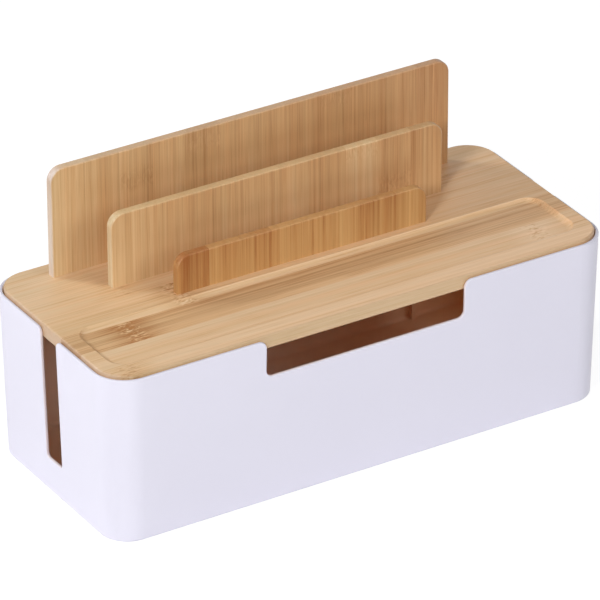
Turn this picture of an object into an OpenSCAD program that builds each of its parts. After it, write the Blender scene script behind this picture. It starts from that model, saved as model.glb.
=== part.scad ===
// Cable management box. A moulded shell hides a power strip and its leads, which enter through a
// slot in each end wall and a wide notch in the front wall. A bamboo lid drops inside the rim and
// rests on ribs. It has a shallow tray along its front and three upright dividers that rise in
// steps towards the back, so that a phone and a tablet can lean in the gaps between them.
//
// Sizes are millimetres. X runs along the box, -Y faces the user and Z points up. The origin is
// on the table, under the middle of the box.

/* [Shell] */
// Outside length of the box at its rim
box_length = 400; // [350:5:480]
// Outside depth of the box, front to back, at its rim
box_depth = 171; // [160:1:220]
// Height of the shell from its underside to its rim
shell_height = 127; // [100:1:160]
// Thickness of the moulded walls
wall = 2.6; // [2.4:0.2:4]
// Thickness of the moulded floor
floor_thickness = 3; // [2.4:0.2:4]
// Outside corner radius at the rim
corner_radius = 25; // [20:1:32]
// How far each wall leans in from the rim to the underside
draft_inset = 3.5; // [2:0.5:6]
// Rounding of the rim and of the edges of the openings
rim_radius = 1; // [0.6:0.1:1.1]
// Rounding of the outer edge round the underside
base_radius = 2; // [1:0.5:4]
// Fillet between the floor and the walls inside
floor_fillet = 3; // [1:0.5:6]

/* [Front notch] */
// Width of the notch in the front wall
notch_width = 158; // [100:1:200]
// Depth of the notch below the rim
notch_depth = 28.5; // [20:0.5:45]
// Rounding where the notch meets the rim
notch_top_radius = 6; // [3:1:10]
// Rounding of the notch's bottom corners
notch_bottom_radius = 5; // [3:1:8]

/* [End slots] */
// Width of the slot in each end wall
slot_width = 21; // [14:1:30]
// Height of the slot's bottom above the shell's underside
slot_sill = 26.5; // [15:0.5:60]
// Rounding where the slot meets the rim
slot_top_radius = 5; // [3:1:8]
// Rounding of the slot's bottom corners
slot_bottom_radius = 3; // [2:0.5:6]

/* [Lid seat] */
// Thickness of each rib that carries the lid
rib_thickness = 2.4; // [1.6:0.2:4]
// How far each rib stands in from the wall at its top
rib_reach = 6; // [4:0.5:10]
// How much deeper each rib is at the floor
rib_draft = 1.5; // [0.5:0.5:3]
// Distance of the long walls' ribs from the ends of the box
long_wall_rib_inset = 60; // [45:5:90]
// Distance of the end walls' ribs from the long walls
end_wall_rib_inset = 38; // [32:1:50]

/* [Feet] */
// Radius of each rubber foot
foot_radius = 8; // [5:0.5:12]
// Thickness of each rubber foot
foot_thickness = 2; // [1.5:0.1:3]
// Depth of the recess that holds each foot
foot_recess = 1; // [0.5:0.1:1.2]
// Distance of each foot's centre from the sides of the base
foot_inset = 24; // [18:1:40]

/* [Lid] */
// Thickness of the bamboo lid
lid_thickness = 10.8; // [8:0.2:14]
// How far the lid's top stands above the rim
lid_proud = 2.7; // [1:0.1:6]
// Gap between the lid and the shell's wall at the rim
lid_clearance = 0.5; // [0.5:0.1:1.5]
// Corner radius of the lid
lid_corner_radius = 22; // [16:1:30]
// Rounding of the lid's long edges
lid_edge_radius = 1.4; // [0.5:0.1:2.5]

/* [Tray] */
// Width of the tray, front to back
tray_width = 58.5; // [40:0.5:64]
// Border between the tray and the lid's front edge
tray_border = 15; // [8:0.2:20]
// Border between the tray and the lid's ends
tray_end_border = 11.4; // [8:0.2:20]
// Depth of the tray
tray_depth = 2.5; // [2:0.1:5]
// Corner radius of the tray
tray_corner_radius = 13; // [8:1:20]
// Radius of the cove that rises from the tray's floor to its edge
tray_cove = 6; // [5:0.5:8]
// Rounding of the tray's upper edge
tray_edge_radius = 0.6; // [0.2:0.1:0.7]

/* [Dividers] */
// Thickness of each divider
divider_thickness = 6.5; // [5:0.5:9]
// Radius of the dividers' upper corners
divider_corner_radius = 10; // [4:1:15]
// Rounding of the dividers' edges
divider_edge_radius = 1; // [0.4:0.1:2]
// Distance of the front divider behind the tray
tray_setback = 6; // [3:0.5:10]
// Length of the rear divider
rear_length = 320; // [260:1:330]
// Height of the rear divider above the lid
rear_height = 82; // [60:1:120]
// Gap between the rear and middle dividers
rear_gap = 27.5; // [20:0.5:30]
// Length of the middle divider
middle_length = 266; // [200:1:300]
// Height of the middle divider above the lid
middle_height = 55; // [40:0.5:80]
// Gap between the middle and front dividers
front_gap = 25; // [20:0.5:30]
// Length of the front divider
front_length = 200; // [150:1:240]
// Height of the front divider above the lid
front_height = 28.5; // [25:0.5:50]

/* [Joinery] */
// Thickness of the tongue under each divider
tongue_thickness = 4; // [3:0.5:5]
// Depth of the tongue and its groove
tongue_depth = 3; // [1:0.5:4]
// Distance of the tongue's ends from the divider's ends
tongue_inset = 12; // [9:1:20]
// Side gap between a tongue and its groove
glue_gap = 0.1; // [0.05:0.05:0.2]

/* [Screws] */
// Radius of the screw's shank
screw_radius = 1.5; // [1.2:0.1:1.8]
// Radius of the screw's countersunk head
screw_head_radius = 3.2; // [2.6:0.1:3.6]
// Length of the screw
screw_length = 25; // [20:1:30]
// Length of the screw's point
screw_point = 4; // [2:0.5:6]
// Gap between a screw and the wood round it
screw_gap = 0.05; // [0.02:0.01:0.1]
// Distance of the outer screws from the divider's ends
screw_inset = 25; // [20:1:40]
// Largest distance between neighbouring screws
screw_pitch = 160; // [60:5:200]
// Width of the driver recess's arms
driver_width = 0.9; // [0.6:0.1:1.2]
// Depth of the driver recess
driver_depth = 1.3; // [0.8:0.1:1.5]

/* [Hidden] */
$fn = 64;

// How far a cutting shape runs past the face that it cuts
cut_margin = 0.8;

// The draft of the walls, and their thickness measured square to them
draft_angle = atan(draft_inset / shell_height);
wall_square = wall * cos(draft_angle);

// The corner axes of the shell, at which its rounded corners turn
shell_axis_x = box_length / 2 - corner_radius;
shell_axis_y = box_depth / 2 - corner_radius;

// Levels above the table
shell_base_z = foot_thickness - foot_recess;
rim_z = shell_base_z + shell_height;
lid_top_z = rim_z + lid_proud;
lid_base_z = lid_top_z - lid_thickness;

// The lid and its tray
lid_length = box_length - 2 * (wall + lid_clearance);
lid_depth = box_depth - 2 * (wall + lid_clearance);
tray_length = lid_length - 2 * tray_end_border;
tray_rear_y = tray_border + tray_width - lid_depth / 2;

// Front faces of the dividers
front_y = tray_rear_y + tray_setback;
middle_y = front_y + divider_thickness + front_gap;
rear_y = middle_y + divider_thickness + rear_gap;

// Centres of the feet
foot_x = box_length / 2 - draft_inset - foot_inset;
foot_y = box_depth / 2 - draft_inset - foot_inset;

white_plastic = [0.91, 0.9, 0.94];
light_bamboo = [0.86, 0.71, 0.53];
warm_bamboo = [0.8, 0.62, 0.42];
zinc_steel = [0.72, 0.72, 0.7];
grey_rubber = [0.3, 0.3, 0.31];

// Distance of the shell's outer and inner surfaces from the corner axis, at a height above its base
function outer_r(z) = corner_radius - draft_inset * (1 - z / shell_height);
function inner_r(z) = outer_r(z) - wall;

// How far a rounding's centre lies from the leaning wall, measured level
function level_offset(radius) = radius / cos(draft_angle);

// The point at which a rounding about the point c meets the leaning wall
function wall_tangent(c, radius, side) =
    [c[0] + side * radius * cos(draft_angle), c[1] - side * radius * sin(draft_angle)];

// Sweeps a profile round a rounded rectangle. The profile's x is the distance from a corner axis.
module sweep_round_rectangle(axis_x, axis_y) {
    for (quarter = [0 : 3]) {
        along_x = quarter % 2 == 1;
        reach = along_x ? axis_y : axis_x;
        half_run = along_x ? axis_x : axis_y;
        rotate(90 * quarter)
            translate([reach, half_run, 0]) {
                rotate_extrude(angle = 90)
                    children();
                rotate([90, 0, 0])
                    linear_extrude(2 * half_run)
                        children();
            }
    }
}

// A board with rounded corners and rounded edges, lying flat and centred
module eased_board(length, width, thickness, corner, edge) {
    axis_x = length / 2 - corner;
    axis_y = width / 2 - corner;
    sweep_round_rectangle(axis_x, axis_y) {
        square([corner - edge, thickness]);
        translate([0, edge])
            square([corner, thickness - 2 * edge]);
        for (level = [edge, thickness - edge])
            translate([corner - edge, level])
                circle(edge);
    }
    translate([-axis_x, -axis_y, 0])
        cube([2 * axis_x, 2 * axis_y, thickness]);
}

// Section of the shell's wall and floor, from a corner axis outwards
module shell_section() {
    base_c = [outer_r(base_radius) - level_offset(base_radius), base_radius];
    rim_level = shell_height - rim_radius;
    rim_out_c = [outer_r(rim_level) - level_offset(rim_radius), rim_level];
    rim_in_c = [inner_r(rim_level) + level_offset(rim_radius), rim_level];
    fillet_level = floor_thickness + floor_fillet;
    fillet_c = [inner_r(fillet_level) - level_offset(floor_fillet), fillet_level];
    inner_corner = [inner_r(floor_thickness), floor_thickness];
    polygon([
        [0, 0],
        [base_c[0], 0],
        wall_tangent(base_c, base_radius, 1),
        wall_tangent(rim_out_c, rim_radius, 1),
        [rim_out_c[0], shell_height],
        [rim_in_c[0], shell_height],
        wall_tangent(rim_in_c, rim_radius, -1),
        inner_corner,
        [0, floor_thickness]
    ]);
    translate(base_c)
        circle(base_radius);
    translate(rim_out_c)
        circle(rim_radius);
    translate(rim_in_c)
        circle(rim_radius);
    difference() {
        polygon([
            fillet_c,
            [fillet_c[0], floor_thickness],
            inner_corner,
            wall_tangent(fillet_c, floor_fillet, 1)
        ]);
        translate(fillet_c)
            circle(floor_fillet);
    }
}

// Outline of an opening that breaks the rim: flared at the rim, rounded at its bottom corners
module opening_outline(width, depth, top_r, bottom_r) {
    half = width / 2;
    translate([-half, bottom_r - depth])
        square([width, depth - bottom_r + cut_margin]);
    translate([bottom_r - half, -depth])
        square([width - 2 * bottom_r, depth]);
    for (side = [-1, 1])
        translate([side * (half - bottom_r), bottom_r - depth])
            circle(bottom_r);
    for (side = [0, 1])
        mirror([side, 0])
            difference() {
                translate([half - cut_margin, -top_r])
                    square([top_r + cut_margin, top_r + cut_margin]);
                translate([half + top_r, -top_r])
                    circle(top_r);
            }
}

// What is cut away to round an edge: x runs from the edge into the wall, y out of its face
module edge_round_section() {
    difference() {
        translate([-cut_margin, -rim_radius])
            square([rim_radius + cut_margin, rim_radius + cut_margin]);
        translate([rim_radius, -rim_radius])
            circle(rim_radius);
    }
}

// The edge rounding carried along an opening's outline, on the face at z = 0
module opening_edge_round(width, depth, top_r, bottom_r) {
    half = width / 2;
    for (side = [0, 1])
        mirror([side, 0, 0]) {
            translate([half + top_r, -top_r, 0])
                rotate(90)
                    rotate_extrude(angle = 90)
                        translate([top_r, 0])
                            mirror([1, 0])
                                edge_round_section();
            translate([half, -top_r, 0])
                rotate([90, 0, 0])
                    linear_extrude(depth - top_r - bottom_r)
                        edge_round_section();
            translate([half - bottom_r, bottom_r - depth, 0])
                rotate(-90)
                    rotate_extrude(angle = 90)
                        translate([bottom_r, 0])
                            edge_round_section();
        }
    translate([0, -depth, 0])
        rotate(-90)
            rotate([90, 0, 0])
                linear_extrude(width - 2 * bottom_r, center = true)
                    edge_round_section();
}

// Everything cut from a wall for one opening. Z = 0 is the wall's outer face, and y = 0 its rim.
module opening_cut(width, depth, top_r, bottom_r) {
    translate([0, 0, -wall_square - cut_margin])
        linear_extrude(wall_square + 2 * cut_margin)
            opening_outline(width, depth, top_r, bottom_r);
    opening_edge_round(width, depth, top_r, bottom_r);
    translate([0, 0, -wall_square])
        mirror([0, 0, 1])
            opening_edge_round(width, depth, top_r, bottom_r);
}

// Lays an opening's cut on a leaning wall, given the wall's direction and its distance out
module on_wall(direction, distance) {
    rotate(direction)
        translate([0, -distance, shell_height])
            rotate([90 + draft_angle, 0, 0])
                children();
}

// One rib that stands on the floor inside the front wall and carries the lid on its top
module seat_rib() {
    seat = lid_base_z - shell_base_z;
    wall_in = outer_r(seat) - corner_radius - wall;
    foot_in = outer_r(0) - corner_radius - wall;
    rotate([90, 0, -90])
        linear_extrude(rib_thickness, center = true)
            polygon([
                [wall_in + wall / 2, seat],
                [wall_in - rib_reach, seat],
                [wall_in - rib_reach - rib_draft, floor_thickness / 2],
                [foot_in + wall / 2, floor_thickness / 2]
            ]);
}

// The ribs on the shell's four walls, two on each
module seat_ribs() {
    for (direction = [0, 180], side = [-1, 1]) {
        rotate(direction)
            translate([side * (box_length / 2 - long_wall_rib_inset), -box_depth / 2, 0])
                seat_rib();
        rotate(direction + 90)
            translate([side * (box_depth / 2 - end_wall_rib_inset), -box_length / 2, 0])
                seat_rib();
    }
}

module box_shell() {
    color(white_plastic)
        translate([0, 0, shell_base_z])
            difference() {
                union() {
                    sweep_round_rectangle(shell_axis_x, shell_axis_y)
                        shell_section();
                    translate([-shell_axis_x, -shell_axis_y, 0])
                        cube([2 * shell_axis_x, 2 * shell_axis_y, floor_thickness]);
                    seat_ribs();
                }
                on_wall(0, box_depth / 2)
                    opening_cut(notch_width, notch_depth, notch_top_radius, notch_bottom_radius);
                for (direction = [-90, 90])
                    on_wall(direction, box_length / 2)
                        opening_cut(
                            slot_width,
                            shell_height - slot_sill,
                            slot_top_radius,
                            slot_bottom_radius
                        );
                for (side_x = [-1, 1], side_y = [-1, 1])
                    translate([side_x * foot_x, side_y * foot_y, -cut_margin])
                        cylinder(r = foot_radius + glue_gap, h = foot_recess + cut_margin);
            }
}

// A rubber foot, set in its recess under one corner
module foot(side_x, side_y) {
    bevel = foot_thickness / 4;
    color(grey_rubber)
        translate([side_x * foot_x, side_y * foot_y, 0]) {
            cylinder(r1 = foot_radius - bevel, r2 = foot_radius, h = bevel);
            translate([0, 0, bevel])
                cylinder(r = foot_radius, h = foot_thickness - bevel);
        }
}

// Section of the tray's hollow from a corner axis outwards: its cove, then its rounded upper edge
module tray_section() {
    run = sqrt(tray_depth * (2 * tray_cove - tray_depth));
    cove_c = [tray_corner_radius - run, tray_cove];
    reach = tray_cove + tray_edge_radius;
    drop = tray_cove - tray_depth + tray_edge_radius;
    edge_c = cove_c + [sqrt(reach * reach - drop * drop), -drop];
    top = tray_depth + cut_margin;
    square([cove_c[0], top]);
    intersection() {
        translate(cove_c)
            circle(tray_cove);
        square([tray_corner_radius, tray_depth]);
    }
    difference() {
        polygon([
            [cove_c[0], tray_depth],
            cove_c + (edge_c - cove_c) * tray_cove / reach,
            edge_c,
            [edge_c[0], top],
            [cove_c[0], top]
        ]);
        translate(edge_c)
            circle(tray_edge_radius);
    }
}

// The hollow of the tray, measured from the lid's top
module tray_hollow() {
    axis_x = tray_length / 2 - tray_corner_radius;
    axis_y = tray_width / 2 - tray_corner_radius;
    height = tray_depth + cut_margin;
    translate([0, 0, -tray_depth]) {
        sweep_round_rectangle(axis_x, axis_y)
            tray_section();
        translate([-axis_x, -axis_y, 0])
            cube([2 * axis_x, 2 * axis_y, height]);
    }
}

// The tongue under a divider, or with a gap the groove that it sits in
module tongue(length, gap) {
    width = tongue_thickness + 2 * gap;
    run = length - 2 * tongue_inset + 2 * gap;
    translate([-run / 2, (divider_thickness - width) / 2, -tongue_depth])
        cube([run, width, tongue_depth + gap]);
}

// A countersunk screw standing on its head, or with a gap the hole that it turns into
module screw_body(gap) {
    head_height = screw_head_radius - screw_radius;
    rotate_extrude()
        polygon([
            [0, 0],
            [screw_head_radius + gap, 0],
            [screw_radius + gap, head_height],
            [screw_radius + gap, screw_length - screw_point],
            [0, screw_length + gap]
        ]);
}

module screw() {
    difference() {
        screw_body(0);
        for (turn = [0, 90])
            rotate(turn)
                translate([-screw_radius, -driver_width / 2, -cut_margin])
                    cube([2 * screw_radius, driver_width, driver_depth + cut_margin]);
    }
}

// Places what it is given at each screw of a divider, on the lid's underside
module at_screws(length, front_face_y) {
    span = length - 2 * screw_inset;
    gaps = ceil(span / screw_pitch);
    for (i = [0 : gaps])
        translate([span * (i / gaps - 0.5), front_face_y + divider_thickness / 2, lid_base_z])
            children();
}

module lid_board() {
    color(light_bamboo)
        difference() {
            translate([0, 0, lid_base_z])
                eased_board(lid_length, lid_depth, lid_thickness, lid_corner_radius, lid_edge_radius);
            translate([0, tray_rear_y - tray_width / 2, lid_top_z])
                tray_hollow();
            for (divider = [[rear_length, rear_y], [middle_length, middle_y], [front_length, front_y]]) {
                translate([0, divider[1], lid_top_z])
                    tongue(divider[0], glue_gap);
                at_screws(divider[0], divider[1])
                    screw_body(screw_gap);
            }
        }
}

// An upright divider with rounded upper corners, a tongue below and holes for its screws
module divider(length, height, front_face_y) {
    buried = 2 * divider_corner_radius;
    difference() {
        translate([0, front_face_y, lid_top_z]) {
            difference() {
                translate([0, divider_thickness, (height - buried) / 2])
                    rotate([90, 0, 0])
                        eased_board(
                            length,
                            height + buried,
                            divider_thickness,
                            divider_corner_radius,
                            divider_edge_radius
                        );
                translate([-length, -divider_thickness, -2 * buried])
                    cube([2 * length, 3 * divider_thickness, 2 * buried]);
            }
            tongue(length, 0);
        }
        at_screws(length, front_face_y)
            screw_body(screw_gap);
    }
}

module rear_divider() {
    color(light_bamboo)
        divider(rear_length, rear_height, rear_y);
}

module middle_divider() {
    color(light_bamboo)
        divider(middle_length, middle_height, middle_y);
}

module front_divider() {
    color(warm_bamboo)
        divider(front_length, front_height, front_y);
}

module divider_screws(length, front_face_y) {
    color(zinc_steel)
        at_screws(length, front_face_y)
            screw();
}

box_shell();
foot(-1, -1);  // foot_front_left
foot(1, -1);  // foot_front_right
foot(-1, 1);  // foot_rear_left
foot(1, 1);  // foot_rear_right
lid_board();
rear_divider();
middle_divider();
front_divider();
divider_screws(rear_length, rear_y);  // rear_divider_screws
divider_screws(middle_length, middle_y);  // middle_divider_screws
divider_screws(front_length, front_y);  // front_divider_screws
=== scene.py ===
"""Looks of the cable management box: a white moulded shell with a lift-off bamboo lid.

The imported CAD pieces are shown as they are. This script gives each one its material, and adds the
floor, the lamps and the camera. Lengths are metres, in the frame of the CAD model. A colour written
with rgb() is sRGB from 0 to 255, and a tint is a factor for red, one for green and one for blue.
"""

import math

import bpy
from mathutils import Matrix, Vector

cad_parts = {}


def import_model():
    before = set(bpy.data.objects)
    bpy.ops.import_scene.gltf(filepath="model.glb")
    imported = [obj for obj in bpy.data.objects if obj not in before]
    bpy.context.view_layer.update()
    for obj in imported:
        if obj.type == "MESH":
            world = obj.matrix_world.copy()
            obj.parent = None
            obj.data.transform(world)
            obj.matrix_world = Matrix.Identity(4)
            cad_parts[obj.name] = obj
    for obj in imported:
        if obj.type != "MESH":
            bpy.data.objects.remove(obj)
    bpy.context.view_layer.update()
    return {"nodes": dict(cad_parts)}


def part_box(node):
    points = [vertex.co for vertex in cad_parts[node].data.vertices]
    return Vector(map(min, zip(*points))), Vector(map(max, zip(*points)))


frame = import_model()

# The axes, as places in a list of three
X, Y, Z = 0, 1, 2


class Graph:
    """A node tree under construction, with short calls for the nodes that it is made of."""

    def __init__(self, owner, output="ShaderNodeOutputMaterial"):
        owner.use_nodes = True
        self.owner = owner
        self.tree = owner.node_tree
        self.tree.nodes.clear()
        self.output = self.node(output)

    def node(self, kind, **settings):
        made = self.tree.nodes.new(kind)
        for name, value in settings.items():
            setattr(made, name, value)
        return made

    def feed(self, socket, value):
        """Links a socket to another, or sets it to a number, a vector or a colour."""
        if isinstance(value, bpy.types.NodeSocket):
            self.tree.links.new(value, socket)
        elif socket.type == "RGBA":
            socket.default_value = (*value, 1.0)
        else:
            socket.default_value = value

    def coordinate(self, kind):
        return self.node("ShaderNodeTexCoord").outputs[kind]

    def split(self, vector):
        """The X, Y and Z parts of a vector."""
        made = self.node("ShaderNodeSeparateXYZ")
        self.feed(made.inputs[0], vector)
        return made.outputs

    def join(self, *parts):
        """A vector made of three parts."""
        made = self.node("ShaderNodeCombineXYZ")
        for socket, part in zip(made.inputs, parts):
            self.feed(socket, part)
        return made.outputs[0]

    def stretch(self, vector, factors):
        made = self.node("ShaderNodeVectorMath", operation="MULTIPLY")
        self.feed(made.inputs[0], vector)
        self.feed(made.inputs[1], factors)
        return made.outputs[0]

    def math(self, operation, first, second=0.0, third=0.0):
        made = self.node("ShaderNodeMath", operation=operation)
        for socket, value in zip(made.inputs, (first, second, third)):
            self.feed(socket, value)
        return made.outputs[0]

    def noise(self, vector, scale, detail, distortion=0.0):
        made = self.node("ShaderNodeTexNoise")
        self.feed(made.inputs["Vector"], vector)
        self.feed(made.inputs["Scale"], scale)
        self.feed(made.inputs["Detail"], detail)
        self.feed(made.inputs["Distortion"], distortion)
        return made.outputs["Fac"]

    def span(self, value, low, high, to_low=0.0, to_high=1.0, smooth=False):
        """Maps a range of a value to another range, and clamps it there."""
        made = self.node("ShaderNodeMapRange", clamp=True)
        if smooth:
            made.interpolation_type = "SMOOTHSTEP"
        for socket, number in zip(made.inputs, (value, low, high, to_low, to_high)):
            self.feed(socket, number)
        return made.outputs[0]

    def mix(self, factor, first, second, blend="MIX"):
        """The first colour at a factor of 0, and its blend with the second at a factor of 1."""
        made = self.node("ShaderNodeMix", data_type="RGBA", blend_type=blend)
        self.feed(made.inputs["Factor"], factor)
        self.feed(made.inputs[6], first)
        self.feed(made.inputs[7], second)
        return made.outputs[2]

    def tinted(self, colour, tint):
        return self.mix(1.0, colour, tint, "MULTIPLY")

    def steps(self, position, values, low=0.0, high=1.0):
        """A value that is constant over each of several equal steps of a 0 to 1 position.

        A colour ramp holds 0 to 1, so values from low to high are scaled into it and back.
        """
        made = self.node("ShaderNodeValToRGB")
        made.color_ramp.interpolation = "CONSTANT"
        marks = made.color_ramp.elements
        while len(marks) < len(values):
            marks.new(1.0)
        for index, value in enumerate(values):
            share = (value - low) / (high - low)
            marks[index].position = index / len(values)
            marks[index].color = (share, share, share, 1.0)
        self.feed(made.inputs["Fac"], position)
        return self.math("MULTIPLY_ADD", made.outputs["Color"], high - low, low)

    def ramp(self, position, colours):
        """A colour that runs evenly through three colours while a position runs from 0 to 1."""
        made = self.node("ShaderNodeValToRGB")
        marks = made.color_ramp.elements
        marks.new(0.5)
        for mark, colour in zip(marks, colours):
            mark.color = (*colour, 1.0)
        self.feed(made.inputs["Fac"], position)
        return made.outputs["Color"]

    def bump(self, height, distance):
        made = self.node("ShaderNodeBump")
        self.feed(made.inputs["Distance"], distance)
        self.feed(made.inputs["Height"], height)
        return made.outputs["Normal"]

    def seen(self):
        """1 for what the camera and reflections see, and 0 for what lights the object."""
        path = self.node("ShaderNodeLightPath")
        seen = self.math("MAXIMUM", path.outputs["Is Camera Ray"], path.outputs["Is Glossy Ray"])
        return self.math("MAXIMUM", seen, path.outputs["Is Transmission Ray"])

    def surface(self, **inputs):
        """Ends the material in a Principled surface with the inputs given."""
        made = self.node("ShaderNodeBsdfPrincipled")
        for name, value in inputs.items():
            self.feed(made.inputs[name.replace("_", " ")], value)
        self.feed(self.output.inputs["Surface"], made.outputs["BSDF"])
        return self.owner


def material_graph(name):
    return Graph(bpy.data.materials.new(name))


def rgb(red, green, blue):
    """An sRGB colour of 0 to 255 as the linear colour that a shader takes."""
    return tuple(
        value / 255 / 12.92 if value <= 10 else ((value / 255 + 0.055) / 1.055) ** 2.4
        for value in (red, green, blue)
    )


# Nearly all of a noise lies in this range, over which it changes a surface's roughness
NOISE_RANGE = (0.3, 0.7)


# ---- The moulded plastic of the shell ----

# The shell's outer corner radius at its underside and its rim, its wall and the height of its floor
CORNER_AT_BASE = 0.0215
CORNER_AT_RIM = 0.025
WALL = 0.0026
FLOOR_LEVEL = 0.004

# The inside's painted bounce light starts, and is complete, this far short of the inner faces
INSIDE_FADE = (0.0004, 0.0002)

# The painted warm shade of the cut through the wall at an opening starts, and is complete, this far
# inside the outer face. It also starts, and is complete, this far below the rim.
CUT_FADE = (0.00015, 0.0006)
RIM_FADE = (0.0015, 0.003)

# Cycles per metre: clouds of a slightly other tone, ripples in the wall and the grain of the mould
CLOUDS = 9.0
RIPPLES = 22.0
MOULD_GRAIN = 1900.0

# How high a ripple is beside a grain, and the depth of the grain
RIPPLE_SHARE = 4.0
MOULD_RELIEF = 0.00003

# The shades of the outside, the painted warm shade of a cut, the two colours of the inside's painted
# bounce light, and the clouds' tint on the inside
OUTER_SHADES = (rgb(230, 228, 242), rgb(235, 233, 247))
CUT_PAINTED_SHADE = rgb(240, 229, 233)
INSIDE_PAINTED_PALE = rgb(254, 242, 233)
INSIDE_PAINTED_WARM = rgb(246, 202, 156)
CLOUD_TINT = (0.97, 0.97, 0.97)

PLASTIC_ROUGHNESS = (0.42, 0.5)

# How the inside's painted bounce light changes: an axis, a stretch of it, a colour's share at both
# ends of that stretch, and the colour. This painted light is warmest low down and to the right, up to
# the pale end wall.
INSIDE_PAINTED_LIGHT = (
    (X, (0.0, 0.19), (0.0, 1.0), INSIDE_PAINTED_WARM),
    (X, (-0.19, -0.08), (0.3, 0.0), INSIDE_PAINTED_WARM),
    (Z, (0.03, 0.1), (0.0, 0.9), INSIDE_PAINTED_PALE),
    (X, (0.183, 0.193), (0.0, 0.8), INSIDE_PAINTED_PALE),
)


def shell_masks(graph, place):
    """Where the shell shows its inside, and where it shows the cut through its wall."""
    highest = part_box("box_shell")[1]
    rim = highest.z
    # How far a point lies inside the outer wall, which is a rounded rectangle that widens upwards
    past = []
    for axis in (X, Y):
        straight = highest[axis] - CORNER_AT_RIM
        beyond = graph.math("SUBTRACT", graph.math("ABSOLUTE", place[axis]), straight)
        past.append(graph.math("MAXIMUM", beyond, 0.0))
    square = graph.math("MULTIPLY", past[Y], past[Y])
    distance = graph.math("SQRT", graph.math("MULTIPLY_ADD", past[X], past[X], square))
    radius = graph.span(place[Z], 0.0, rim, CORNER_AT_BASE, CORNER_AT_RIM)
    depth = graph.math("SUBTRACT", radius, distance)
    within = graph.span(depth, *(WALL - short for short in INSIDE_FADE))
    above = graph.span(place[Z], *(FLOOR_LEVEL - short for short in INSIDE_FADE))
    below = graph.span(place[Z], *(rim - short for short in RIM_FADE))
    through = graph.math("MULTIPLY", graph.span(depth, *CUT_FADE), above)
    return graph.math("MULTIPLY", within, above), graph.math("MULTIPLY", through, below)


def moulded_plastic():
    """Satin white plastic with the fine grain of a textured mould, with painted warm bounce light
    inside the box and painted warm shade on the cuts of its openings.
    """
    graph = material_graph("moulded_plastic")
    vector = graph.coordinate("Object")
    place = graph.split(vector)
    clouds = graph.noise(vector, CLOUDS, detail=3.0)
    ripples = graph.noise(vector, RIPPLES, detail=1.0)
    grain = graph.noise(vector, MOULD_GRAIN, detail=2.0)
    inside, cut = shell_masks(graph, place)
    # The cuts of the openings are painted a warmer shade
    outer = graph.mix(cut, graph.mix(clouds, *OUTER_SHADES), CUT_PAINTED_SHADE)
    # The inside is painted with warm bounce light, pale high up and at the right end wall
    painted_inside = INSIDE_PAINTED_PALE
    for axis, stretch, shares, colour in INSIDE_PAINTED_LIGHT:
        share = graph.span(place[axis], *stretch, *shares, smooth=True)
        painted_inside = graph.mix(share, painted_inside, colour)
    painted_inside = graph.mix(clouds, painted_inside, graph.tinted(painted_inside, CLOUD_TINT))
    height = graph.math("MULTIPLY_ADD", ripples, RIPPLE_SHARE, grain)
    return graph.surface(
        Base_Color=graph.mix(inside, outer, painted_inside),
        Roughness=graph.span(clouds, *NOISE_RANGE, *PLASTIC_ROUGHNESS),
        Specular_IOR_Level=0.4,
        Normal=graph.bump(height, MOULD_RELIEF),
    )


# ---- The bamboo of the lid and the dividers ----

# Each layer of the grain: its cycles per metre along and across the fibres, detail and distortion
LAYERS = {
    "band": (1.6, 62.0, 2.0, 0.0),
    "streak": (3.5, 340.0, 1.0, 0.0),
    "hair": (2.0, 800.0, 1.0, 0.0),
    "fibre": (26.0, 1250.0, 1.0, 0.0),
    "hue": (1.6, 150.0, 2.0, 0.0),
    "waver": (0.0, 130.0, 2.0, 0.0),
    "dash": (170.0, 520.0, 1.0, 1.2),
}

# The noise above which a fibre starts to show, and at which it shows in full
FIBRE_RANGE = (0.52, 0.72)

# What is taken off each layer, so that it lightens about as much as it darkens
NOISE_MIDDLE = 0.5
FIBRE_MIDDLE = 0.3
DASH_MIDDLE = 0.47

# How far the fibres of a strip are shifted from those of the one before it
STRIP_SHIFT = 3.17

# How far a knuckle wavers in all, and the distances from it over which its dashes and its shade fade
KNUCKLE_WAVER = 0.014
DASHES_REACH = (0.003, 0.011)
SHADE_REACH = (0.004, 0.026)

# The greatest strength of a knuckle's dashes or shade
STRONGEST = 2.0

# How squarely a face is cut across the fibres where it starts to lose contrast and where it has
# lost the most, and the share of the contrast that it keeps
END_CUT = (0.3, 0.9)
END_CONTRAST = 0.35

# Half the width of the glue line between two strips
GLUE_LINE = 0.00025

# How deep the fibres and the dashes lie, as shares of the relief
FIBRE_HEIGHT = -0.6
DASH_HEIGHT = -1.5
BAMBOO_RELIEF = 0.00008

BAMBOO_ROUGHNESS = (0.4, 0.52)

# The two hues between which the bamboo wanders
REDDER = (1.06, 0.98, 0.93)
YELLOWER = (0.94, 1.02, 1.07)


class Strip:
    """One strip of a board, and its knuckle if it shows one.

    The knuckle's place is a share of the strip's length. Its dashes and its shade have a strength
    each, and a shade below zero is paler than the strip.
    """

    def __init__(self, tone, knuckle=0.0, dashes=0.0, shade=0.0):
        self.tone = tone
        self.knuckle = knuckle
        self.dashes = dashes
        self.shade = shade
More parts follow.
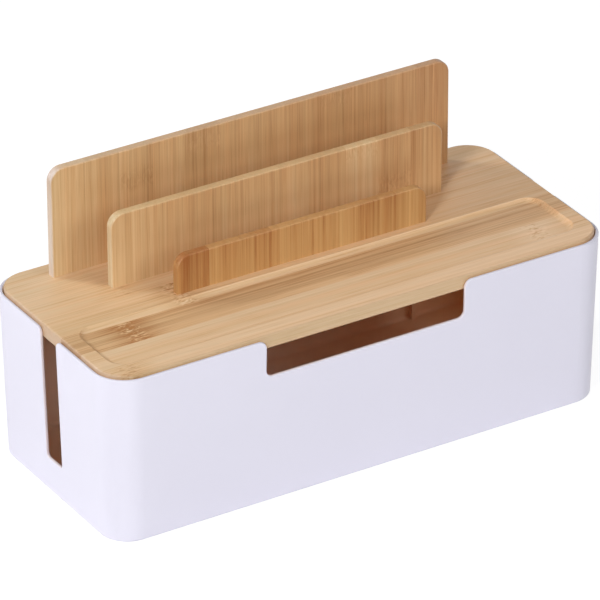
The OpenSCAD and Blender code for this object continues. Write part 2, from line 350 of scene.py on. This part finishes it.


# The look of each board:
#   along, across      the axis along its fibres and the one across its strips
#   spread             the width of its strips together, as a share of the board's
#   strips             from its low to its high side
#   palette            its colours at a tone of 0, 0.5 and 1, which run from pale to dark
#   band ... seam      how much each effect changes its tone
#    lean how much darker it is at the high end of its fibres than at the low one: painted light that
#    pales the dividers' feet
#    painted_light_drift its tints at the left and at the right: painted light, cooler where the lamps
#    fall at the left and warmer at the right
#   edge_band          how far in from its outline its edges reach, or None for any distance
#    edges the tint of the edges that face along an axis: darker sides on the lid, and a painted
#    highlight, paler and cooler, on the dividers' ends and tops
#    painted_arris_shades the tint of the rounded arris between its top and those edges: painted shade
LID_LOOK = {
    "along": X,
    "across": Y,
    "spread": 7 / 6,  # seven strips, and the board's edges halve the outer two
    "strips": (
        Strip(0.23, 0.045, 0.7, 1.6),
        Strip(0.39, 0.905, 1.4, -1.2),
        Strip(0.67, 0.12, 1.6, 1.4),
        # The shade of the next two knuckles is painted shade, where the left ends of the front and
        # middle dividers shade the lid
        Strip(0.43, 0.25, -1.2, 1.2),
        Strip(0.38, 0.17, 0.3, 0.8),
        Strip(0.41, 0.86, 0.6, 0.6),
        Strip(0.4, 0.4, 0.3, 0.3),
    ),
    "palette": (rgb(247, 215, 177), rgb(230, 191, 143), rgb(181, 124, 73)),
    "band": 0.5,
    "streak": 0.55,
    "hair": 0.42,
    "fibre": 0.22,
    "shade": 0.16,
    "dash": 1.6,
    "seam": 0.1,
    "lean": 0.0,
    "painted_light_drift": ((0.99, 1.0, 1.02), (1.0, 0.96, 0.955)),
    "edge_band": 0.009,
    "edges": {X: (0.74, 0.75, 0.86), Y: (0.76, 0.75, 0.7)},
    "painted_arris_shades": {Y: (0.88, 0.84, 0.8)},
}
DIVIDER_LOOK = {
    "along": Z,
    "across": X,
    "spread": 1.0,
    "palette": (rgb(228, 194, 148), rgb(202, 157, 108), rgb(158, 107, 61)),
    "hair": 0.43,
    "fibre": 0.15,
    "shade": 0.12,
    "dash": 0.9,
    "seam": 0.06,
    "lean": 0.3,
    "edge_band": None,
    "painted_arris_shades": {},
}
REAR_LOOK = {
    **DIVIDER_LOOK,
    "strips": (
        Strip(0.36),
        Strip(0.44),
        Strip(0.44, 0.72, 0.5, 0.5),
        Strip(0.44),
        Strip(0.5, 0.9, 0.35, 0.35),
        Strip(0.44),
        Strip(0.46),
        Strip(0.5),
        Strip(0.5, 0.95, 0.35, 0.35),
        Strip(0.52),
        Strip(0.48),
        Strip(0.56),
    ),
    "band": 0.34,
    "streak": 0.31,
    "painted_light_drift": ((1.08, 1.16, 1.2), (1.01, 0.955, 0.92)),
    "edges": {X: (1.02, 1.27, 2.1), Z: (1.2, 1.36, 1.78)},
}
MIDDLE_LOOK = {
    **DIVIDER_LOOK,
    "strips": (
        Strip(0.34),
        Strip(0.38),
        Strip(0.44),
        Strip(0.4),
        Strip(0.38),
        Strip(0.44),
        Strip(0.44),
        Strip(0.34, 0.93, -0.7, -0.7),
        Strip(0.44, 0.35, 0.7, 1.1),
        Strip(0.56),
    ),
    "band": 0.5,
    "streak": 0.4,
    "painted_light_drift": ((1.04, 1.06, 1.05), (1.0, 0.98, 0.97)),
    "edges": {X: (0.99, 1.16, 1.42), Z: (1.25, 1.46, 1.68)},
}
FRONT_LOOK = {
    **DIVIDER_LOOK,
    "strips": (
        Strip(0.8),
        Strip(0.42),
        Strip(0.54),
        Strip(0.38),
        Strip(0.42),
        Strip(0.46),
        Strip(0.54),
        Strip(0.46),
    ),
    "palette": (rgb(218, 170, 112), rgb(195, 142, 86), rgb(158, 93, 42)),
    "band": 0.85,
    "streak": 0.75,
    "painted_light_drift": ((0.98, 1.02, 1.02), (0.98, 1.05, 1.08)),
    "edges": {X: (1.0, 1.05, 1.15), Z: (1.2, 1.23, 1.3)},
}


class Bamboo(Graph):
    """Laminated bamboo: strips side by side, each with its tone, fibres and perhaps a knuckle.

    Every effect is added to one tone, and the board's palette turns that tone into a colour.
    """

    def __init__(self, name, node, look):
        super().__init__(bpy.data.materials.new(name))
        self.look = look
        self.low, self.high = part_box(node)
        self.place = self.split(self.coordinate("Object"))
        self.normal = self.split(self.coordinate("Normal"))
        # The place along the fibres, and where they start and end
        self.along = self.place[look["along"]]
        self.start = self.low[look["along"]]
        self.end = self.high[look["along"]]
        # The width of all strips together, and the position across them from 0 to 1
        across = look["across"]
        middle = (self.low[across] + self.high[across]) / 2
        self.width = look["spread"] * (self.high[across] - self.low[across])
        half = self.width / 2
        self.position = self.span(self.place[across], middle - half, middle + half)
        self.count = len(look["strips"])
        self.shifted = self.shifted_place()

    def shifted_place(self):
        """The place along, across and through the board, for its grain.

        Each strip shifts it along, so that no streak runs on into the next strip.
        """
        through = self.place[X + Y + Z - self.look["along"] - self.look["across"]]
        index = self.math("FLOOR", self.math("MULTIPLY", self.position, self.count))
        along = self.math("MULTIPLY_ADD", index, STRIP_SHIFT, self.along)
        return self.join(along, self.place[self.look["across"]], through)

    def grain(self, layer):
        along, across, detail, distortion = LAYERS[layer]
        stretched = self.stretch(self.shifted, (along, across, across))
        return self.noise(stretched, 1.0, detail, distortion)

    def by_strip(self, quality, low=0.0, high=1.0):
        values = [getattr(strip, quality) for strip in self.look["strips"]]
        return self.steps(self.position, values, low, high)

    def facing(self, axis):
        """How squarely a face looks along an axis, from 0 to 1."""
        return self.math("ABSOLUTE", self.normal[axis])

    def knuckles(self):
        """The dashes and the shade along each strip's knuckle, a wavering line across the strip."""
        centre = self.math("MULTIPLY_ADD", self.by_strip("knuckle"), self.end - self.start, self.start)
        offset = self.math("SUBTRACT", self.along, centre)
        offset = self.math("MULTIPLY_ADD", self.grain("waver"), KNUCKLE_WAVER, offset)
        distance = self.math("ABSOLUTE", self.math("SUBTRACT", offset, KNUCKLE_WAVER / 2))
        line = self.span(distance, *DASHES_REACH, 1.0, 0.0, smooth=True)
        dash = self.math("MULTIPLY", line, self.math("SUBTRACT", self.grain("dash"), DASH_MIDDLE))
        dash = self.math("MULTIPLY", dash, self.by_strip("dashes", -STRONGEST, STRONGEST))
        shade = self.span(distance, *SHADE_REACH, 1.0, 0.0, smooth=True)
        shade = self.math("MULTIPLY", shade, self.by_strip("shade", -STRONGEST, STRONGEST))
        return dash, shade

    def tone(self, parts):
        """The tone of the board, from the strips' own tones and the parts that change them."""
        # Painted light: the tone pales towards the low end of the fibres, the dividers' feet
        half = self.look["lean"] / 2
        lean = self.span(self.along, self.start, self.end, -half, half)
        tone = self.math("ADD", self.by_strip("tone"), lean)
        # A face cut across the fibres shows less of their contrast
        contrast = self.span(self.facing(self.look["along"]), *END_CUT, 1.0, END_CONTRAST)
        for effect, part in parts.items():
            change = self.math("MULTIPLY", part, self.look[effect])
            tone = self.math("MULTIPLY_ADD", change, contrast, tone)
        # The glue line between two strips
        seam = self.math("PINGPONG", self.math("MULTIPLY", self.position, self.count), 0.5)
        seam = self.span(seam, 0.0, GLUE_LINE * self.count / self.width, 1.0, 0.0)
        return self.math("MULTIPLY_ADD", seam, self.look["seam"], tone)

    def colour(self, tone):
        """The colour of the sanded faces."""
        colour = self.ramp(tone, self.look["palette"])
        redder = self.tinted(colour, REDDER)
        yellower = self.tinted(colour, YELLOWER)
        # Painted light: cooler at the left, where the lamps fall, and warmer at the right
        across_board = self.span(self.place[X], self.low.x, self.high.x)
        painted_light_drift = self.mix(across_board, *self.look["painted_light_drift"])
        return self.tinted(self.mix(self.grain("hue"), redder, yellower), painted_light_drift)

    def edge(self, axis):
        """How squarely an edge of the board looks along an axis, and 0 where the face is no edge."""
        band = self.look["edge_band"]
        if band is None:
            return self.facing(axis)
        outside = [
            self.math("GREATER_THAN", self.math("ABSOLUTE", self.place[side]), self.high[side] - band)
            for side in (X, Y)
        ]
        return self.math("MULTIPLY", self.facing(axis), self.math("MAXIMUM", *outside))

    def edged(self, colour):
        """The colour, changed at the edges: darker sides on the lid, a painted highlight on the
        dividers' ends and tops, and painted shade on the lid's rounded front arris.
        """
        # The dividers' ends and tops take a painted highlight, the lid's sides a darker tint
        for axis, tint in self.look["edges"].items():
            colour = self.mix(self.edge(axis), colour, self.tinted(colour, tint))
        for axis, tint in self.look["painted_arris_shades"].items():
            # Painted shade on the rounded arris, full where the edge is halfway between facing
            # sideways and facing up
            arris_shade = self.math("MULTIPLY", self.edge(axis), self.facing(Z))
            arris_shade = self.math("MULTIPLY", arris_shade, 2.0)
            colour = self.mix(arris_shade, colour, self.tinted(colour, tint))
        return colour

    def finished(self):
        """The whole material."""
        streak = self.grain("streak")
        fibre = self.span(self.grain("fibre"), *FIBRE_RANGE)
        dash, shade = self.knuckles()
        parts = {
            "band": self.math("SUBTRACT", self.grain("band"), NOISE_MIDDLE),
            "streak": self.math("SUBTRACT", streak, NOISE_MIDDLE),
            "hair": self.math("SUBTRACT", self.grain("hair"), NOISE_MIDDLE),
            "fibre": self.math("SUBTRACT", fibre, FIBRE_MIDDLE),
            "shade": shade,
            "dash": dash,
        }
        dash_height = self.math("MULTIPLY", dash, DASH_HEIGHT)
        height = self.math("MULTIPLY_ADD", fibre, FIBRE_HEIGHT, dash_height)
        return self.surface(
            Base_Color=self.edged(self.colour(self.tone(parts))),
            Roughness=self.span(streak, *NOISE_RANGE, *BAMBOO_ROUGHNESS),
            Specular_IOR_Level=0.4,
            Coat_Weight=0.12,
            Coat_Roughness=0.25,
            Normal=self.bump(height, BAMBOO_RELIEF),
        )


# ---- The screws and the feet ----

# The marks of the plate and the pebbles of the rubber: cycles per metre, shades and depth
ZINC_MARKS = 1400.0
ZINC_SHADES = (rgb(170, 170, 165), rgb(205, 205, 200))
ZINC_ROUGHNESS = (0.25, 0.45)
ZINC_RELIEF = 0.00003
RUBBER_PEBBLES = 2600.0
RUBBER_SHADES = (rgb(52, 52, 54), rgb(70, 70, 72))
RUBBER_ROUGHNESS = (0.65, 0.85)
RUBBER_RELIEF = 0.00008


def zinc():
    """Bright zinc plate with the fine marks of the driver and the die."""
    graph = material_graph("zinc_plate")
    marks = graph.noise(graph.coordinate("Object"), ZINC_MARKS, detail=3.0)
    return graph.surface(
        Base_Color=graph.mix(marks, *ZINC_SHADES),
        Metallic=1.0,
        Roughness=graph.span(marks, *NOISE_RANGE, *ZINC_ROUGHNESS),
        Normal=graph.bump(marks, ZINC_RELIEF),
    )


def rubber():
    """Matt dark rubber with a pebbled skin."""
    graph = material_graph("foot_rubber_skin")
    pebbles = graph.noise(graph.coordinate("Object"), RUBBER_PEBBLES, detail=2.0)
    return graph.surface(
        Base_Color=graph.mix(pebbles, *RUBBER_SHADES),
        Roughness=graph.span(pebbles, *NOISE_RANGE, *RUBBER_ROUGHNESS),
        Normal=graph.bump(pebbles, RUBBER_RELIEF),
    )


def put(node, material):
    frame["nodes"][node].material_slots[0].material = material


def dress():
    """Gives every CAD piece its material."""
    put("box_shell", moulded_plastic())
    put("lid_board", Bamboo("lid_bamboo_strips", "lid_board", LID_LOOK).finished())
    screws = zinc()
    for node, look in (
        ("rear_divider", REAR_LOOK),
        ("middle_divider", MIDDLE_LOOK),
        ("front_divider", FRONT_LOOK),
    ):
        put(node, Bamboo(node + "_strips", node, look).finished())
        put(node + "_screws", screws)
    feet = rubber()
    for corner in ("front_left", "front_right", "rear_left", "rear_right"):
        put("foot_" + corner, feet)


# ---- The studio ----

FLOOR_SIZE = 12.0

# The floor's paper as a surface that lights the object, and as the camera sees it, with its glow
PAPER = (0.92, 0.92, 0.92)
PAPER_SEEN = (0.3, 0.3, 0.3)
PAPER_GLOW = 0.86

# The studio's own light from all round, beside the lamps
AMBIENT = 0.23

# The lamps: name, place, side and power in watts. They all face one point.
LAMP_AIM = Vector((0, 0, 0.1))
LAMPS = (
    ("key_soft_box", (-2.0, -1.5, 1.5), 0.5, 37.5),
    ("rear_soft_box", (-1.35, 1.5, 1.6), 0.7, 17.0),
    ("left_soft_box", (-2.3, -0.3, 1.2), 1.2, 7.0),
    ("right_fill", (1.3, -2.1, 1.4), 1.4, 22.0),
)

# Light that enters the box by its narrow openings meets the walls many times
DIFFUSE_BOUNCES = 24

# The photograph's camera. Its sensor and its lens are in millimetres.
VIEW_AZIMUTH = math.radians(-31.4)
VIEW_ELEVATION = math.radians(29.02)
VIEW_ROLL = math.radians(-0.2)
VIEW_DISTANCE = 4.174
VIEW_PAN = (-0.00096, 0.03074)
VIEW_TARGET = Vector((0, 0, 0.061))
VIEW_REACH = 50.0
SENSOR_WIDTH = 36.0
LENS = 362.1


def paper():
    """White paper. To the camera and in reflections it glows up to white, and keeps a faint shadow."""
    graph = material_graph("studio_floor")
    seen = graph.seen()
    diffuse = graph.node("ShaderNodeBsdfDiffuse")
    graph.feed(diffuse.inputs["Color"], graph.mix(seen, PAPER, PAPER_SEEN))
    glow = graph.node("ShaderNodeEmission")
    graph.feed(glow.inputs["Strength"], graph.math("MULTIPLY", seen, PAPER_GLOW))
    both = graph.node("ShaderNodeAddShader")
    graph.feed(both.inputs[0], diffuse.outputs[0])
    graph.feed(both.inputs[1], glow.outputs[0])
    graph.feed(graph.output.inputs["Surface"], both.outputs[0])
    return graph.owner


def floor():
    """A wide pale floor under the box."""
    half = FLOOR_SIZE / 2
    corners = [(-half, -half, 0), (half, -half, 0), (half, half, 0), (-half, half, 0)]
    mesh = bpy.data.meshes.new("studio_floor")
    mesh.from_pydata(corners, [], [(0, 1, 2, 3)])
    mesh.materials.append(paper())
    piece = bpy.data.objects.new("studio_floor", mesh)
    bpy.context.scene.collection.objects.link(piece)


def lamp(name, place, side, power):
    """A square soft box that faces the object."""
    data = bpy.data.lights.new(name, "AREA")
    data.size = side
    data.energy = power
    light = bpy.data.objects.new(name, data)
    light.location = place
    light.rotation_euler = (LAMP_AIM - Vector(place)).to_track_quat("-Z", "Y").to_euler()
    bpy.context.scene.collection.objects.link(light)


def world():
    """Even studio light from all round. To the camera and in reflections it is white."""
    sky = bpy.data.worlds.new("studio")
    bpy.context.scene.world = sky
    graph = Graph(sky, "ShaderNodeOutputWorld")
    background = graph.node("ShaderNodeBackground")
    graph.feed(background.inputs["Strength"], graph.span(graph.seen(), 0.0, 1.0, AMBIENT, 1.0))
    graph.feed(graph.output.inputs["Surface"], background.outputs[0])


def camera():
    """The photograph's view: a long lens, from the front left and above."""
    level = math.cos(VIEW_ELEVATION)
    back = Vector(
        (
            math.sin(VIEW_AZIMUTH) * level,
            -math.cos(VIEW_AZIMUTH) * level,
            math.sin(VIEW_ELEVATION),
        )
    )
    right = Vector((0, 0, 1)).cross(back).normalized()
    up = back.cross(right)
    spot = VIEW_TARGET + back * VIEW_DISTANCE + right * VIEW_PAN[0] + up * VIEW_PAN[1]
    rolled_right = right * math.cos(VIEW_ROLL) + up * math.sin(VIEW_ROLL)
    rolled_up = up * math.cos(VIEW_ROLL) - right * math.sin(VIEW_ROLL)
    data = bpy.data.cameras.new("camera")
    data.sensor_width = SENSOR_WIDTH
    data.lens = LENS
    data.clip_end = VIEW_REACH
    view = bpy.data.objects.new("camera", data)
    turn = Matrix((rolled_right, rolled_up, back)).transposed().to_4x4()
    view.matrix_world = Matrix.Translation(spot) @ turn
    bpy.context.scene.collection.objects.link(view)
    bpy.context.scene.camera = view


camera()
dress()
floor()
world()
for settings in LAMPS:
    lamp(*settings)
bpy.context.scene.view_settings.view_transform = "Standard"
bpy.context.scene.cycles.diffuse_bounces = DIFFUSE_BOUNCES
